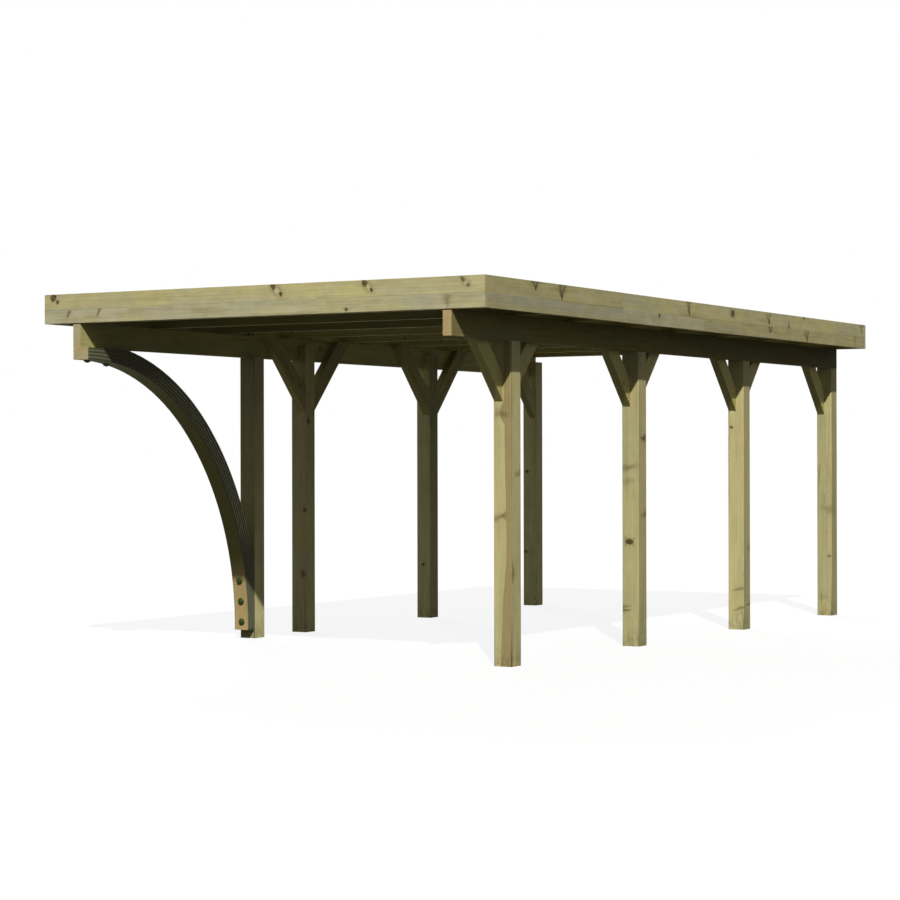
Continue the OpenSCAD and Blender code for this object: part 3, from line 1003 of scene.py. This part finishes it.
def turned(bm, outline, place, steps):
    """Spins half an outline, given as radius and height, once round +Z of the matrix."""
    before = set(bm.verts)
    points = [bm.verts.new((r, 0, z)) for r, z in outline]
    edges = [bm.edges.new(pair) for pair in zip(points, points[1:])]
    bmesh.ops.spin(bm, geom=points + edges, cent=(0, 0, 0), axis=UP, angle=2 * math.pi, steps=steps,
                   use_merge=True, use_duplicate=False)
    bmesh.ops.remove_doubles(bm, verts=[v for v in bm.verts if v not in before], dist=1e-5)
    shape = [v for v in bm.verts if v not in before]
    bmesh.ops.transform(bm, matrix=place, verts=shape)
    for face in {f for v in shape for f in v.link_faces}:
        face.smooth = True


def cap(bm, place):
    """Adds one domed cap whose underside lies on the XY plane of the matrix, with its dome along +Z."""
    dome = (CAP_RADIUS ** 2 + CAP_HEIGHT ** 2) / (2 * CAP_HEIGHT)
    top, steps = math.asin(CAP_RADIUS / dome), 7
    angles = [top * (1 - i / steps) for i in range(1, steps + 1)]
    outline = [(CAP_RADIUS - CAP_EDGE, 0.0), (CAP_RADIUS, CAP_EDGE)]
    outline += [(dome * math.sin(a), CAP_HEIGHT - dome + dome * math.cos(a)) for a in angles]
    turned(bm, outline, place, 32)


def on_arch(centre, radius, angle, x):
    """Matrix on the arch's hollow face: +Z points out of the wood, to the arc's centre."""
    outwards = Vector((0, math.cos(angle), math.sin(angle)))
    return frame_of(RIGHT, Vector(RIGHT).cross(outwards), Vector((x, centre.y, centre.z)) + outwards * radius)


green_cap = cap_paint()
foot_caps, head_caps = bmesh.new(), bmesh.new()
for z in FOOT_BOLT_HEIGHTS:
    angle = math.asin((z - foot_centre.z) / FOOT_RADIUS)
    cap(foot_caps, on_arch(foot_centre, FOOT_RADIUS, angle, arch_x))
for y in HEAD_BOLT_STEPS:
    run = arch_low.y + y - head_centre.y
    angle = math.pi / 2 - math.asin(run / HEAD_RADIUS)
    cap(head_caps, on_arch(head_centre, HEAD_RADIUS, angle, arch_low.x + HEAD_BOLT_INSET))
piece("foot_bolt_caps", foot_caps, green_cap, "bolt", "arch_foot_bolts")
piece("head_bolt_caps", head_caps, green_cap, "bolt", "arch_head_bolts")
print("five caps, each", 2000 * CAP_RADIUS, "mm wide")

# %% [markdown]
# The roof is a ribbed sheet below the fascia's top edge. One rib's outline is drawn once, pulled along the roof,
# repeated across it and joined; then its bends are rounded and it gets the sheet's thickness.

# %% Roof sheet
def sheet_paint():
    paint = Finish("grey_sheet")
    place = paint.add("ShaderNodeTexCoord", {}, "Object")
    dust = paint.noise(place, (7, 1.3, 3), 4, 0.6)
    grit = paint.noise(place, (180, 180, 180), 2)
    colour = paint.blend(paint.ease(dust, 0.4, 0.75), tint(106, 109, 108), tint(134, 133, 124))
    colour = paint.blend(paint.ease(grit, 0.5, 0.8, 0.0, 0.25), colour, tint(84, 88, 86))
    paint.set(Base_Color=colour, Roughness=paint.line(dust, 0.3, 0.42))
    bump = paint.add("ShaderNodeBump", {"Strength": 0.15, "Distance": 0.0005, "Height": grit})
    paint.set(Normal=bump)
    return paint.material


def pull_edges(bm, edges, vec):
    pulled = bmesh.ops.extrude_edge_only(bm, edges=edges)["geom"]
    bmesh.ops.translate(bm, vec=vec, verts=verts_of(pulled))


sheet_low, sheet_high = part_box("roof_sheet")
sheet_thick, rib_height, pan, rib_top, ribs, fold = 0.0012, 0.035, 0.100, 0.060, 15, 0.006
rib_pitch = (sheet_high.x - sheet_low.x - pan) / ribs
web = (rib_pitch - pan - rib_top) / 2
roof = bmesh.new()
line = [(0, 0), (pan, 0), (pan + web, rib_height), (pan + web + rib_top, rib_height), (rib_pitch, 0)]
bends = [roof.verts.new((sheet_low.x + x, sheet_low.y, sheet_low.z + z)) for x, z in line]
outline = [roof.edges.new(pair) for pair in zip(bends, bends[1:])]
pull_edges(roof, outline, (0, sheet_high.y - sheet_low.y, 0))
first_rib = everything(roof)
for number in range(1, ribs):
    copy = bmesh.ops.duplicate(roof, geom=first_rib)["geom"]
    bmesh.ops.translate(roof, vec=(number * rib_pitch, 0, 0), verts=verts_of(copy))
bmesh.ops.remove_doubles(roof, verts=roof.verts, dist=1e-5)
last = [e for e in roof.edges if e.is_boundary and abs(e.verts[0].co.x - e.verts[1].co.x) < 1e-6
        and e.verts[0].co.x > sheet_high.x - pan - 0.001]
pull_edges(roof, last, (pan, 0, 0))
folds = [e for e in roof.edges if len(e.link_faces) == 2]
bevel(roof, folds, fold, 3)
bmesh.ops.recalc_face_normals(roof, faces=roof.faces)
if sum(f.normal.z for f in roof.faces) < 0:
    bmesh.ops.reverse_faces(roof, faces=roof.faces)
bmesh.ops.solidify(roof, geom=roof.faces[:], thickness=-sheet_thick)
for face in roof.faces:
    face.smooth = False
roof_piece = piece("ribbed_sheet", roof, sheet_paint(), "roof_sheet", "roof_sheet")
print("sheet with", ribs, "ribs,", len(roof_piece.data.polygons), "faces")

# %% [markdown]
# Roof screws hold the sheet on the rafters, on every second rib. Each has a turned washer and a six-sided head.
# The head starts as a six-sided disc that is pulled up, and its top edges are taken off as on a pressed head.

# %% Roof screws
def screw_paint():
    paint = Finish("zinc_screw")
    cloud = paint.noise(paint.add("ShaderNodeTexCoord", {}, "Object"), (900, 900, 900), 2)
    paint.set(Base_Color=paint.blend(cloud, tint(150, 152, 150), tint(196, 197, 192)), Metallic=0.9)
    paint.set(Roughness=paint.line(cloud, 0.2, 0.35))
    return paint.material


WASHER = [(0.0084, 0.0), (0.0088, 0.0008), (0.0060, 0.0018), (0.0036, 0.0020)]
SCREW_HEAD, SEAT, HEAD_HEIGHT, HEAD_CHAMFER = 0.0046, 0.0018, 0.005, 0.0008


def roof_screw(bm, place):
    turned(bm, WASHER, place, 12)
    seat = place @ Matrix.Translation((0, 0, SEAT))
    disc = bmesh.ops.create_circle(bm, cap_ends=True, segments=6, radius=SCREW_HEAD, matrix=seat)
    foot = disc["verts"][0].link_faces[0]
    pulled = extrude_by(bm, [foot], place.to_3x3() @ Vector((0, 0, HEAD_HEIGHT)))
    top = [f for f in pulled if isinstance(f, bmesh.types.BMFace)][0]
    bevel(bm, top.edges[:], HEAD_CHAMFER, 1)


screws = bmesh.new()
screwed_ribs = range(0, ribs, 2)
for number in RAFTERS:
    low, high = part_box(f"rafter_{number}")
    for rib in screwed_ribs:
        x = sheet_low.x + rib * rib_pitch + pan + web + rib_top / 2
        roof_screw(screws, Matrix.Translation((x, (low.y + high.y) / 2, sheet_high.z)))
screw_piece = piece("roof_screws", screws, screw_paint(), "roof_sheet")
print("roof screws:", len(RAFTERS) * len(screwed_ribs), "with", len(screw_piece.data.polygons), "faces")
